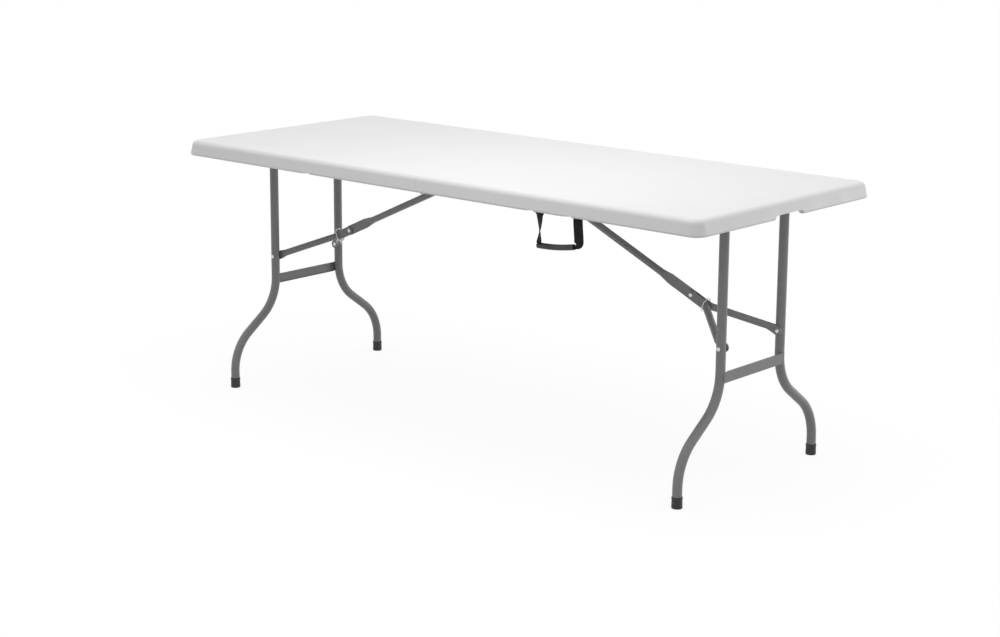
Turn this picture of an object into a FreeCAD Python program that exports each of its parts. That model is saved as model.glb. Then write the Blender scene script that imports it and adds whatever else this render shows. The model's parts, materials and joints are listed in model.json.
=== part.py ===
"""Folding buffet table: two blow-moulded halves on steel rails, with folding legs,
toggle braces, sliding lock rings, a centre fold and a webbing carry handle.

Frame: origin on the floor under the middle of the table, +X along the length,
+Y to the back, +Z up. The carry handle hangs under the front edge of the right half.
All sizes are in millimetres.
"""
import FreeCAD, Part
import math
import os

V = FreeCAD.Vector
X_AXIS = V(1, 0, 0)
Y_AXIS = V(0, 1, 0)
Z_AXIS = V(0, 0, 1)

# Overall size of the open table
LENGTH = 1830.0
WIDTH = 762.0
HEIGHT = 740.0

# Blow-moulded halves
RIM_DEPTH = 43.0
RIM_WIDTH = 18.0
PANEL = 15.0
CORNER_R = 34.0
INNER_CORNER_R = 12.0
RIM_DRAFT = 9.0
TOP_EDGE_R = 16.0
RIM_EDGE_R = 5.0
SEAM_GAP = 0.6
SEAM_EDGE_R = 1.5

# Dimples that tie the underside of a half to its top skin
DIMPLE_D = 22.0
DIMPLE_END_D = 11.0
DIMPLE_DEPTH = 9.0
DIMPLE_STEP_X = 64.0
DIMPLE_STEP_Y = 60.0
DIMPLE_MARGIN = 8.0

# Hand notch in each end rim, and the shallow ramps in the front rim
HAND_NOTCH_LENGTH = 127.0
HAND_NOTCH_DEPTH = 11.0
RAMP_DEPTH = 4.0
RAMP_LENGTH = 36.0
RAMP_FROM_STRAP = 8.0
LEFT_RAMP_X = -415.0

# Side rails and tie bars under each half
RAIL_WIDTH = 18.0
RAIL_HEIGHT = 26.5
RAIL_WALL = 1.8
RAIL_TO_RIM = 4.0
RAIL_FROM_SEAM = 22.0
RAIL_PAST_PIVOT = 30.0
TIE_WIDTH = 30.0
TIE_THICKNESS = 3.0

# Leg frames
LEG_INSET = 103.0
PIVOT_DROP = 15.0
PIVOT_D = 16.0
PIVOT_WALL = 1.5
PIVOT_BEAD_R = 10.0
PIVOT_BEAD_WIDTH = 2.5
PIVOT_PAST_RAIL = 3.0
RUNNING = 0.1
LEG_D = 25.0
LEG_WALL = 1.2
LEG_Y = 131.0
LEG_ABOVE_PIVOT = 4.0
FOOT_Y = 299.0
BEND_HIGH_Z = 240.0
BEND_LOW_Z = 118.0
BEND_R = 135.0
FOOT_D = 28.0
FOOT_HEIGHT = 30.0
FOOT_FLOOR = 4.0
FOOT_EDGE_R = 2.0
FOOT_WAIST_D = 27.0
FOOT_COLLAR = 7.0
FOOT_COLLAR_EDGE = 1.0
CROSSBAR_Z = 299.0
CROSSBAR_HEIGHT = 28.0
CROSSBAR_LIP = 2.6
CROSSBAR_WALL = 1.5
CROSSBAR_PAST_LEG = 2.0
CROSSBAR_FROM_LEG = 1.0

# Toggle braces
BRACE_DROP = 338.0
ANCHOR_FROM_SEAM = 70.0
ROD_D = 19.0
KNEE_PLATE_HEIGHT = 28.0
KNEE_PLATE_LENGTH = 75.0
ROD_PLATE_THICKNESS = 5.0
EYE_HEIGHT = 18.0
EYE_LENGTH = 35.0
TAPER_LENGTH = 32.0
ARM_PLATE_HEIGHT = 24.0
ARM_PLATE_THICKNESS = 4.0
ARM_INNER_LENGTH = 46.0
ARM_OUTER_LENGTH = 13.0
ARM_TAPER_LENGTH = 15.0
ARM_TAPER_SIDE = 7.0
PLATE_GAP = 0.3
RIVET_R = 3.2
RIVET_HEAD_R = 5.6
RIVET_HEAD = 2.2

# Sliding lock rings
RING_ON_SPREAD = 2.6
RING_INNER_HEIGHT = 35.0
RING_INNER_WIDTH = 23.0
RING_WIRE_D = 3.0

# Brackets that carry the rods
BRACKET_WALL = 2.0
BRACKET_BASE_Y = 60.0
BRACKET_SCREW_Y = 20.0
EAR_R = 8.5
BRACKET_PIN_R = 3.0
BRACKET_PIN_HEAD_R = 5.0
BRACKET_PIN_HEAD = 2.0

# Centre fold hinges
HINGE_BELOW_RIM = 2.0
HINGE_PLATE = 3.0
HINGE_EAR_R = 9.0
HINGE_ON_RAIL = 68.0
HINGE_STRAP_HEIGHT = 18.0
HINGE_LINK_X = 40.0
HINGE_LINK_RISE = 16.0
HINGE_PIN_R = 4.0
HINGE_HEAD_R = 7.0
HINGE_HEAD = 2.5
HINGE_SIDE_GAP = 0.2
HINGE_SLOT_MARGIN = 2.5
HINGE_SLOT_HEIGHT = 19.0
HINGE_RIVET_R = 2.5
HINGE_RIVET_HEAD_R = 5.0
HINGE_RIVET_HEAD = 2.0
HINGE_RIVET_INSET = 8.0
HINGE_RIVET_SPACING = 20.0

# Fasteners
SCREW_R = 2.0
SCREW_LENGTH = 12.0
SCREW_HEAD_R = 4.5
SCREW_HEAD = 2.5
RAIL_SCREWS = 5
RAIL_SCREW_INSET = 110.0
TIE_SCREW_Y = 180.0

# Webbing carry handle
HANDLE_X = 476.5
STRAP_SPACING = 123.0
STRAP_WIDTH = 30.0
STRAP_THICKNESS = 2.5
STRAP_FIXED_HEIGHT = 20.0
STRAP_FLEX_GAP = 0.9
HANDLE_AXIS_BELOW_RIM = 3.0
HANDLE_ABOVE_AXIS = 1.0
HANDLE_DROP = 79.0
GRIP_D = 15.0
GRIP_LENGTH = 147.0
GRIP_SAG = 4.0
GRIP_TILT = 16.0
CLAMP_HEIGHT = 14.0
CLAMP_THICKNESS = 2.0
CLAMP_SCREW_SPACING = 18.0
CLAMP_SCREW_LENGTH = 16.0

# Levels and places that follow from the sizes above
RIM_Z = HEIGHT - RIM_DEPTH
CEILING_Z = HEIGHT - PANEL
PIVOT_Z = CEILING_Z - PIVOT_DROP
LEG_X = LENGTH / 2 - LEG_INSET
LEG_R = LEG_D / 2
ROD_R = ROD_D / 2
RIM_INNER_Y = WIDTH / 2 - RIM_WIDTH
RAIL_OUTER_Y = RIM_INNER_Y - RAIL_TO_RIM
RAIL_INNER_Y = RAIL_OUTER_Y - RAIL_WIDTH
BRACE_RUN = LEG_X - ANCHOR_FROM_SEAM
BRACE_LENGTH = math.hypot(BRACE_RUN, BRACE_DROP)
BRACE_ANGLE = math.degrees(math.atan2(BRACE_DROP, BRACE_RUN))
ROD_LENGTH = (BRACE_LENGTH + BRACE_RUN - BRACE_DROP) / 2
ARM_INNER_Y = ROD_PLATE_THICKNESS / 2 + PLATE_GAP + ARM_PLATE_THICKNESS / 2
ARM_OUTER_Y = LEG_Y - LEG_R - PLATE_GAP - ARM_PLATE_THICKNESS / 2
HINGE_Z = RIM_Z - HINGE_BELOW_RIM
HINGE_RIGHT_Y = RAIL_INNER_Y - HINGE_PLATE
HINGE_LEFT_Y = RAIL_INNER_Y + RAIL_WALL
STRAP_Y = -RIM_INNER_Y + STRAP_THICKNESS / 2
HANDLE_AXIS_Z = RIM_Z - HANDLE_AXIS_BELOW_RIM


def box(low, high):
    """Box between two opposite corners."""
    size = high - low
    return Part.makeBox(size.x, size.y, size.z, low)


def cylinder_y(radius, x, z, y_from, y_to):
    """Round bar along Y."""
    return Part.makeCylinder(radius, y_to - y_from, V(x, y_from, z), Y_AXIS)


def prism(outline, direction):
    """Solid from a closed list of edges, drawn along a direction."""
    return Part.Face(Part.Wire(outline)).extrude(direction)


def polygon(points):
    """Straight edges round a list of points."""
    return [Part.LineSegment(a, b).toShape() for a, b in zip(points, points[1:] + points[:1])]


def mirrored_x(shape):
    """The same piece on the other half of the table."""
    return shape.mirror(V(0, 0, 0), X_AXIS)


def mirrored_y(shape):
    """The same piece on the other long side."""
    return shape.mirror(V(0, 0, 0), Y_AXIS)


def group(shapes):
    """Separate solids that share one node."""
    return Part.makeCompound(shapes)


def rounded_plan(x_seam, x_end, half_width, seam_radius, end_radius, z):
    """Plan outline of a half: one radius at the seam's corners and one at the outer corners."""
    edges = []
    corners = [(x_seam, -half_width, seam_radius, -1, -1), (x_end, -half_width, end_radius, 1, -1),
               (x_end, half_width, end_radius, 1, 1), (x_seam, half_width, seam_radius, -1, 1)]
    ends = []
    for x, y, radius, side_x, side_y in corners:
        along_x = V(x - side_x * radius, y, z)
        along_y = V(x, y - side_y * radius, z)
        middle = V(x - side_x * radius * (1 - math.sqrt(0.5)), y - side_y * radius * (1 - math.sqrt(0.5)), z)
        first, last = (along_x, along_y) if side_x * side_y < 0 else (along_y, along_x)
        ends.append((first, middle, last, radius))
    for index, (first, middle, last, radius) in enumerate(ends):
        if radius > 0:
            edges.append(Part.Arc(first, middle, last).toShape())
        following = ends[(index + 1) % len(ends)][0]
        edges.append(Part.LineSegment(last, following).toShape())
    return edges


def edges_at_level(shape, z, keep):
    """Edges that lie flat at height z and pass a test on their middle point."""
    found = []
    for edge in shape.Edges:
        bounds = edge.BoundBox
        if abs(bounds.ZMin - z) < 0.01 and abs(bounds.ZMax - z) < 0.01 and keep(bounds.Center):
            found.append(edge)
    return found


def moulded_half():
    """Right half as it leaves the mould, before its notches, slots and screw holes."""
    x_seam = SEAM_GAP / 2
    x_end = LENGTH / 2
    half = WIDTH / 2
    low = Part.Wire(rounded_plan(x_seam, x_end, half, 0, CORNER_R, RIM_Z))
    high = Part.Wire(rounded_plan(x_seam, x_end - RIM_DRAFT, half - RIM_DRAFT, 0,
                                  CORNER_R - RIM_DRAFT, HEIGHT))
    body = Part.makeLoft([low, high], True, True)
    recess = prism(rounded_plan(x_seam + RIM_WIDTH, x_end - RIM_WIDTH, RIM_INNER_Y, INNER_CORNER_R,
                                CORNER_R - RIM_WIDTH, RIM_Z), V(0, 0, CEILING_Z - RIM_Z))
    body = body.cut(recess)
    clear_of_seam = lambda point: point.x > x_seam + 0.1
    body = body.makeFillet(TOP_EDGE_R, edges_at_level(body, HEIGHT, clear_of_seam))
    body = body.makeFillet(RIM_EDGE_R, edges_at_level(body, RIM_Z, clear_of_seam))
    seam_top = edges_at_level(body, HEIGHT, lambda point: point.x < x_seam + 0.1)
    return body.makeFillet(SEAM_EDGE_R, seam_top)


def dimples():
    """Conical dimples in staggered rows over the underside, clear of rails, tie bar and rim."""
    reach = DIMPLE_D / 2 + DIMPLE_MARGIN
    x_low = ANCHOR_FROM_SEAM + TIE_WIDTH / 2 + reach
    x_high = LENGTH / 2 - RIM_WIDTH - reach
    y_high = RAIL_INNER_Y - reach
    columns = int((x_high - x_low) / DIMPLE_STEP_X) + 1
    rows = int(2 * y_high / DIMPLE_STEP_Y) + 1
    x_first = (x_low + x_high - (columns - 1) * DIMPLE_STEP_X) / 2
    cones = []
    for column in range(columns):
        count = rows - column % 2
        for row in range(count):
            place = V(x_first + column * DIMPLE_STEP_X, (row - (count - 1) / 2) * DIMPLE_STEP_Y, CEILING_Z)
            cones.append(Part.makeCone(DIMPLE_D / 2, DIMPLE_END_D / 2, DIMPLE_DEPTH, place, Z_AXIS))
    return cones


def hand_notch():
    """Rounded notch through the outer end's rim."""
    low = V(LENGTH / 2 - RIM_WIDTH - RIM_EDGE_R, -HAND_NOTCH_LENGTH / 2,
            RIM_Z - HAND_NOTCH_DEPTH)
    high = V(LENGTH / 2 + 1, HAND_NOTCH_LENGTH / 2, RIM_Z + HAND_NOTCH_DEPTH)
    cut = box(low, high)
    lengthwise = [e for e in cut.Edges if e.BoundBox.XLength > RIM_WIDTH and e.BoundBox.ZMin > RIM_Z]
    return cut.makeFillet(HAND_NOTCH_DEPTH * 0.95, lengthwise)


def front_ramp(x_high):
    """Shallow ramp in the front rim's lower edge, deepest at its +X end."""
    y = -WIDTH / 2 - 1
    points = [V(x_high - RAMP_LENGTH, y, RIM_Z - 1), V(x_high, y, RIM_Z - 1),
              V(x_high, y, RIM_Z + RAMP_DEPTH), V(x_high - RAMP_LENGTH, y, RIM_Z)]
    return prism(polygon(points), V(0, RIM_WIDTH + RIM_EDGE_R + 1, 0))


def hinge_slots():
    """Slots in the seam's rim that let the hinge plates through, front and back."""
    y_low = HINGE_RIGHT_Y - HINGE_HEAD - HINGE_SLOT_MARGIN
    y_high = HINGE_LEFT_Y + HINGE_PLATE + HINGE_HEAD + HINGE_SLOT_MARGIN
    slot = box(V(-1, y_low, RIM_Z - 1), V(RIM_WIDTH + 2, y_high, RIM_Z + HINGE_SLOT_HEIGHT))
    return [slot, mirrored_y(slot)]


def side_rail():
    """Angle rail at the back of the right half, without its holes."""
    x_low = RAIL_FROM_SEAM
    x_high = LEG_X + RAIL_PAST_PIVOT
    upright = box(V(x_low, RAIL_INNER_Y, CEILING_Z - RAIL_HEIGHT),
                  V(x_high, RAIL_INNER_Y + RAIL_WALL, CEILING_Z))
    flange = box(V(x_low, RAIL_INNER_Y, CEILING_Z - RAIL_WALL), V(x_high, RAIL_OUTER_Y, CEILING_Z))
    rail = upright.fuse(flange).removeSplitter()
    bearing = cylinder_y(PIVOT_D / 2 + RUNNING, LEG_X, PIVOT_Z, RAIL_INNER_Y - 1, RAIL_OUTER_Y + 1)
    return rail.cut(bearing)


def tie_bar():
    """Flat bar between the two rails, over the brace bracket."""
    x_low = ANCHOR_FROM_SEAM - TIE_WIDTH / 2
    return box(V(x_low, -RAIL_INNER_Y, CEILING_Z - TIE_THICKNESS),
               V(x_low + TIE_WIDTH, RAIL_INNER_Y, CEILING_Z))


def brace_bracket():
    """U-shaped bracket under the tie bar, whose two ears hold the rod's eye."""
    top_z = CEILING_Z - TIE_THICKNESS
    x_low = ANCHOR_FROM_SEAM - TIE_WIDTH / 2
    base = box(V(x_low, -BRACKET_BASE_Y / 2, top_z - BRACKET_WALL),
               V(x_low + TIE_WIDTH, BRACKET_BASE_Y / 2, top_z))
    ear_in = ROD_PLATE_THICKNESS / 2 + PLATE_GAP
    ear = cylinder_y(EAR_R, ANCHOR_FROM_SEAM, PIVOT_Z, ear_in, ear_in + BRACKET_WALL)
    web = box(V(ANCHOR_FROM_SEAM - EAR_R, ear_in, PIVOT_Z),
              V(ANCHOR_FROM_SEAM + EAR_R, ear_in + BRACKET_WALL, top_z))
    ear = ear.fuse(web)
    return base.fuse([ear, mirrored_y(ear)]).removeSplitter()


def turned(outline, base, axis):
    """Round solid turned from a closed outline about an axis through base."""
    return Part.Face(Part.Wire([edge.toShape() for edge in outline])).revolve(base, axis, 360)


def dome(radius, height, base, axis):
    """Rounded head that stands on base along an axis square to X."""
    ball_r = (radius ** 2 + height ** 2) / (2 * height)
    half_turn = math.asin(radius / ball_r) / 2
    centre = base + axis * (height - ball_r)
    rim = base + X_AXIS * radius
    middle = centre + axis * (ball_r * math.cos(half_turn)) + X_AXIS * (ball_r * math.sin(half_turn))
    crown = base + axis * height
    outline = [Part.LineSegment(base, rim), Part.Arc(rim, middle, crown), Part.LineSegment(crown, base)]
    return turned(outline, base, axis)


def rivet(radius, head_radius, head, x, z, y_from, y_to, heads):
    """Rivet along Y; heads lists the ends, -1 for y_from and +1 for y_to, that carry a domed head."""
    body = cylinder_y(radius, x, z, y_from, y_to)
    for end in heads:
        y = y_to if end > 0 else y_from
        body = body.fuse(dome(head_radius, head, V(x, y, z), V(0, end, 0)))
    return body.removeSplitter()


def screw(point, direction, length):
    """Pan-head screw: its head stands off the point, its shank runs along the direction."""
    shank = Part.makeCylinder(SCREW_R, length, point, direction)
    return shank.fuse(dome(SCREW_HEAD_R, SCREW_HEAD, point, direction * -1)).removeSplitter()


def rail_screw_places():
    """Places along a rail of its screws."""
    first = RAIL_FROM_SEAM + RAIL_SCREW_INSET
    last = LEG_X - RAIL_PAST_PIVOT
    step = (last - first) / (RAIL_SCREWS - 1)
    return [first + step * index for index in range(RAIL_SCREWS)]


def half_screws():
    """Screws that hold rails, tie bar and bracket to the right half."""
    rail_y = (RAIL_INNER_Y + RAIL_WALL + RAIL_OUTER_Y) / 2
    under_rail = CEILING_Z - RAIL_WALL
    under_tie = CEILING_Z - TIE_THICKNESS
    screws = []
    for side in (-1, 1):
        for x in rail_screw_places():
            screws.append(screw(V(x, side * rail_y, under_rail), Z_AXIS, SCREW_LENGTH))
        for y, z in ((TIE_SCREW_Y, under_tie), (BRACKET_SCREW_Y, under_tie - BRACKET_WALL)):
            screws.append(screw(V(ANCHOR_FROM_SEAM, side * y, z), Z_AXIS, SCREW_LENGTH))
    return screws


def leg_path():
    """Centre line of the right back leg: upright, bent out, upright again."""
    turn = math.atan2(FOOT_Y - LEG_Y, BEND_HIGH_Z - BEND_LOW_Z)
    reach = BEND_R * math.tan(turn / 2)
    slope = V(0, math.sin(turn), -math.cos(turn))
    top = V(LEG_X, LEG_Y, PIVOT_Z + LEG_ABOVE_PIVOT)
    high = V(LEG_X, LEG_Y, BEND_HIGH_Z)
    low = V(LEG_X, FOOT_Y, BEND_LOW_Z)
    foot = V(LEG_X, FOOT_Y, FOOT_FLOOR)
    middle = BEND_R / math.cos(turn / 2) - BEND_R
    inward = V(0, math.cos(turn / 2), math.sin(turn / 2))
    edges = [Part.LineSegment(top, high + Z_AXIS * reach),
             Part.Arc(high + Z_AXIS * reach, high + inward * middle, high + slope * reach),
             Part.LineSegment(high + slope * reach, low - slope * reach),
             Part.Arc(low - slope * reach, low - inward * middle, low - Z_AXIS * reach),
             Part.LineSegment(low - Z_AXIS * reach, foot)]
    return Part.Wire([edge.toShape() for edge in edges])


def leg_tube():
    """Right back leg: bent tube with holes for the pivot tube and the arm's rivet."""
    path = leg_path()
    top = V(LEG_X, LEG_Y, PIVOT_Z + LEG_ABOVE_PIVOT)
    solids = []
    for radius in (LEG_R, LEG_R - LEG_WALL):
        ring = Part.Wire(Part.makeCircle(radius, top, Z_AXIS))
        solids.append(path.makePipeShell([ring], True, False))
    tube = solids[0].cut(solids[1])
    tube = tube.cut(cylinder_y(PIVOT_D / 2, LEG_X, PIVOT_Z, LEG_Y - LEG_D, LEG_Y + LEG_D))
    return tube.cut(cylinder_y(RIVET_R, LEG_X, PIVOT_Z - BRACE_DROP, LEG_Y - LEG_D, LEG_Y + LEG_D))


def pivot_tube():
    """Cross tube that carries the right legs, beaded just inside each rail."""
    end = RAIL_INNER_Y + RAIL_WALL + PIVOT_PAST_RAIL
    tube = cylinder_y(PIVOT_D / 2, LEG_X, PIVOT_Z, -end, end)
    bead_out = RAIL_INNER_Y - PLATE_GAP
    bead = cylinder_y(PIVOT_BEAD_R, LEG_X, PIVOT_Z, bead_out - PIVOT_BEAD_WIDTH, bead_out)
    tube = tube.fuse([bead, mirrored_y(bead)])
    return tube.cut(cylinder_y(PIVOT_D / 2 - PIVOT_WALL, LEG_X, PIVOT_Z, -end, end))


def foot_cap():
    """Moulded cap over the right back leg's lower end."""
    base = V(LEG_X, FOOT_Y, 0)
    wide = FOOT_D / 2
    waist = FOOT_WAIST_D / 2
    collar_z = FOOT_HEIGHT - FOOT_COLLAR
    step = wide - waist
    edge = FOOT_COLLAR_EDGE
    stations = [(0, 0), (wide - FOOT_EDGE_R, 0), (wide, FOOT_EDGE_R), (waist, collar_z),
                (wide, collar_z + step), (wide, FOOT_HEIGHT - edge), (wide - edge, FOOT_HEIGHT), (0, FOOT_HEIGHT)]
    points = [base + V(radius, 0, z) for radius, z in stations]
    outline = [Part.LineSegment(a, b) for a, b in zip(points, points[1:] + points[:1])]
    round_off = FOOT_EDGE_R * math.sqrt(0.5)
    sole_middle = base + V(wide - FOOT_EDGE_R + round_off, 0, FOOT_EDGE_R - round_off)
    outline[1] = Part.Arc(points[1], sole_middle, points[2])
    cap = turned(outline, base, Z_AXIS)
    return cap.cut(Part.makeCylinder(LEG_R, FOOT_HEIGHT, V(LEG_X, FOOT_Y, FOOT_FLOOR)))


def crossbar():
    """Strip across the right legs: it lies on their outer side, its turned lips run between them."""
    web_x = LEG_X + LEG_R
    low_z = CROSSBAR_Z - CROSSBAR_HEIGHT / 2
    high_z = CROSSBAR_Z + CROSSBAR_HEIGHT / 2
    web_y = LEG_Y + CROSSBAR_PAST_LEG
    lip_y = LEG_Y - LEG_R - CROSSBAR_FROM_LEG
    bar = box(V(web_x, -web_y, low_z), V(web_x + CROSSBAR_WALL, web_y, high_z))
    for z in (low_z, high_z - CROSSBAR_WALL):
        bar = bar.fuse(box(V(web_x - CROSSBAR_LIP, -lip_y, z), V(web_x, lip_y, z + CROSSBAR_WALL)))
    return bar.removeSplitter()


def on_brace(shape):
    """Carry a piece drawn along +X from the anchor to its place on the right brace."""
    placed = shape.copy()
    placed.rotate(V(0, 0, 0), Y_AXIS, BRACE_ANGLE)
    placed.translate(V(ANCHOR_FROM_SEAM, 0, PIVOT_Z))
    return placed


def flat_section(centre, height, thickness):
    """Outline of a flattened tube, square to the brace."""
    h = height / 2
    t = thickness / 2
    corners = [V(0, t, -h), V(0, t, h), V(0, -t, h), V(0, -t, -h)]
    return Part.Wire(polygon([centre + corner for corner in corners]))


def round_section(centre, direction, radius):
    """Outline of a round tube, in four arcs that pair with a flattened end's four sides."""
    side = V(-direction.y, direction.x, 0)
    arcs = []
    for start in (-45, 45, 135, 225):
        points = []
        for step in (0, 45, 90):
            angle = math.radians(start + step)
            points.append(centre + side * (radius * math.cos(angle)) + Z_AXIS * (radius * math.sin(angle)))
        arcs.append(Part.Arc(points[0], points[1], points[2]).toShape())
    return Part.Wire(arcs)


def end_plate(x_pin, x_inner, y, height, thickness):
    """Flattened end with a round tip about its pin and a straight run to x_inner."""
    tip = cylinder_y(height / 2, x_pin, 0, y - thickness / 2, y + thickness / 2)
    run = box(V(min(x_pin, x_inner), y - thickness / 2, -height / 2),
              V(max(x_pin, x_inner), y + thickness / 2, height / 2))
    return tip.fuse(run)


def brace_rod():
    """Rod from the bracket to the knee, drawn along +X: eye, taper, tube, taper, knee plate."""
    thickness = ROD_PLATE_THICKNESS
    eye_end = EYE_LENGTH
    plate_start = ROD_LENGTH - KNEE_PLATE_LENGTH
    tube_from = V(eye_end + TAPER_LENGTH, 0, 0)
    tube_to = V(plate_start - TAPER_LENGTH, 0, 0)
    eye = end_plate(0, eye_end, 0, EYE_HEIGHT, thickness)
    knee = end_plate(ROD_LENGTH, plate_start, 0, KNEE_PLATE_HEIGHT, thickness)
    upper = Part.makeLoft([flat_section(V(eye_end, 0, 0), EYE_HEIGHT, thickness),
                           round_section(tube_from, X_AXIS, ROD_R)], True, True)
    tube = Part.Face(round_section(tube_from, X_AXIS, ROD_R)).extrude(tube_to - tube_from)
    lower = Part.makeLoft([round_section(tube_to, X_AXIS, ROD_R),
                           flat_section(V(plate_start, 0, 0), KNEE_PLATE_HEIGHT, thickness)], True, True)
    rod = eye.fuse([upper, tube, lower, knee]).removeSplitter()
    rod = rod.cut(cylinder_y(BRACKET_PIN_R + RUNNING, 0, 0, -thickness, thickness))
    return rod.cut(cylinder_y(RIVET_R + RUNNING, ROD_LENGTH, 0, -thickness, thickness))


def brace_arm():
    """Back arm of the yoke, drawn along +X: inner plate at the knee, spread tube, outer plate at the leg."""
    thickness = ARM_PLATE_THICKNESS
    inner_end = ROD_LENGTH + ARM_INNER_LENGTH
    outer_start = BRACE_LENGTH - ARM_OUTER_LENGTH
    tube_from = V(inner_end + ARM_TAPER_LENGTH, ARM_INNER_Y + ARM_TAPER_SIDE, 0)
    tube_to = V(outer_start - ARM_TAPER_LENGTH, ARM_OUTER_Y - ARM_TAPER_SIDE, 0)
    run = tube_to - tube_from
    direction = V(run).normalize()
    inner = end_plate(ROD_LENGTH, inner_end, ARM_INNER_Y, ARM_PLATE_HEIGHT, thickness)
    outer = end_plate(BRACE_LENGTH, outer_start, ARM_OUTER_Y, ARM_PLATE_HEIGHT, thickness)
    first = Part.makeLoft([flat_section(V(inner_end, ARM_INNER_Y, 0), ARM_PLATE_HEIGHT, thickness),
                           round_section(tube_from, direction, ROD_R)], True, True)
    tube = Part.Face(round_section(tube_from, direction, ROD_R)).extrude(run)
    flat_end = flat_section(V(outer_start, ARM_OUTER_Y, 0), ARM_PLATE_HEIGHT, thickness)
    last = Part.makeLoft([round_section(tube_to, direction, ROD_R), flat_end], True, True)
    arm = inner.fuse([first, tube, last, outer]).removeSplitter()
    for x_pin in (ROD_LENGTH, BRACE_LENGTH):
        arm = arm.cut(cylinder_y(RIVET_R, x_pin, 0, 0, LEG_Y))
    return arm


def lock_ring():
    """Wire ring that holds the straightened knee, drawn square to the brace."""
    radius = (RING_INNER_WIDTH + RING_WIRE_D) / 2
    straight = (RING_INNER_HEIGHT + RING_WIRE_D) / 2 - radius
    x = ROD_LENGTH + ARM_INNER_LENGTH + RING_ON_SPREAD
    edges = []
    for side in (1, -1):
        start = V(x, side * radius, -side * straight)
        bend = V(x, side * radius, side * straight)
        edges.append(Part.LineSegment(start, bend).toShape())
        crown = V(x, 0, side * (straight + radius))
        edges.append(Part.Arc(bend, crown, V(x, -side * radius, side * straight)).toShape())
    wire = Part.Wire(edges)
    section = Part.Wire(Part.makeCircle(RING_WIRE_D / 2, V(x, radius, -straight), Z_AXIS))
    return wire.makePipeShell([section], True, False)


def knee_rivet():
    """Rivet through both arms and the rod's plate."""
    half = ARM_INNER_Y + ARM_PLATE_THICKNESS / 2
    return rivet(RIVET_R, RIVET_HEAD_R, RIVET_HEAD, ROD_LENGTH, 0, -half, half, (-1, 1))


def arm_rivet():
    """Rivet in the back arm's outer plate, headed on the inner side and flush on the leg's side."""
    half = ARM_PLATE_THICKNESS / 2
    return rivet(RIVET_R, RIVET_HEAD_R, RIVET_HEAD, BRACE_LENGTH, 0,
                 ARM_OUTER_Y - half, ARM_OUTER_Y + half, (-1,))


def leg_rivet():
    """Rivet through the right back leg at the arm's end, headed on the outer side."""
    return rivet(RIVET_R, RIVET_HEAD_R, RIVET_HEAD, LEG_X, PIVOT_Z - BRACE_DROP,
                 LEG_Y - LEG_R, LEG_Y + LEG_R, (1,))


def bracket_pin():
    """Pin through the bracket's ears and the rod's eye."""
    half = ROD_PLATE_THICKNESS / 2 + PLATE_GAP + BRACKET_WALL
    return rivet(BRACKET_PIN_R, BRACKET_PIN_HEAD_R, BRACKET_PIN_HEAD, ANCHOR_FROM_SEAM, PIVOT_Z,
                 -half, half, (-1, 1))


def hinge_plate(y_low, hole_radius):
    """Back hinge plate of the right half: a strap on the rail and a link down to the fold's axis."""
    x_low = RAIL_FROM_SEAM
    strap_z = CEILING_Z - TIE_THICKNESS - PLATE_GAP - HINGE_STRAP_HEIGHT
    strap = box(V(x_low, y_low, strap_z),
                V(x_low + HINGE_ON_RAIL, y_low + HINGE_PLATE, strap_z + HINGE_STRAP_HEIGHT))
    tilt = math.atan2(HINGE_LINK_RISE, HINGE_LINK_X)
    length = math.hypot(HINGE_LINK_X, HINGE_LINK_RISE)
    link = box(V(0, y_low, -HINGE_EAR_R), V(length, y_low + HINGE_PLATE, HINGE_EAR_R))
    link = link.fuse([cylinder_y(HINGE_EAR_R, x, 0, y_low, y_low + HINGE_PLATE) for x in (0, length)])
    link.rotate(V(0, 0, 0), Y_AXIS, -math.degrees(tilt))
    link.translate(V(0, 0, HINGE_Z))
    plate = strap.fuse(link).removeSplitter()
    return plate.cut(cylinder_y(hole_radius, 0, HINGE_Z, y_low - 1, y_low + HINGE_PLATE + 1))


def hinge_rivets(y_from, y_to):
    """Rivets that hold a back hinge plate of the right half to its rail."""
    z = CEILING_Z - TIE_THICKNESS - PLATE_GAP - HINGE_STRAP_HEIGHT / 2
    last = RAIL_FROM_SEAM + HINGE_ON_RAIL - HINGE_RIVET_INSET
    return [rivet(HINGE_RIVET_R, HINGE_RIVET_HEAD_R, HINGE_RIVET_HEAD, x, z, y_from, y_to, (-1, 1))
            for x in (last - HINGE_RIVET_SPACING, last)]


def hinge_pin():
    """Back hinge pin: fast in the right plate, free in the left one."""
    y_to = HINGE_LEFT_Y + HINGE_PLATE + HINGE_SIDE_GAP
    return rivet(HINGE_PIN_R, HINGE_HEAD_R, HINGE_HEAD, 0, HINGE_Z, HINGE_RIGHT_Y, y_to, (-1, 1))


def hinge_washer():
    """Washer between the back hinge's two plates."""
    y_from = HINGE_RIGHT_Y + HINGE_PLATE
    y_to = HINGE_LEFT_Y - HINGE_SIDE_GAP
    washer = cylinder_y(HINGE_HEAD_R, 0, HINGE_Z, y_from, y_to)
    return washer.cut(cylinder_y(HINGE_PIN_R, 0, HINGE_Z, y_from, y_to))


def strap_places():
    """Middles of the two straps along X."""
    return [HANDLE_X - STRAP_SPACING / 2, HANDLE_X + STRAP_SPACING / 2]


def strap_block(x, y_inner, thickness, width, z_low, z_high):
    """Flat upright band of webbing or steel, from y_inner towards the back."""
    return box(V(x - width / 2, y_inner, z_low), V(x + width / 2, y_inner + thickness, z_high))


def clamp_level():
    """Lower edge of the clamp plates."""
    return RIM_Z + STRAP_FIXED_HEIGHT - CLAMP_HEIGHT


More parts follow.
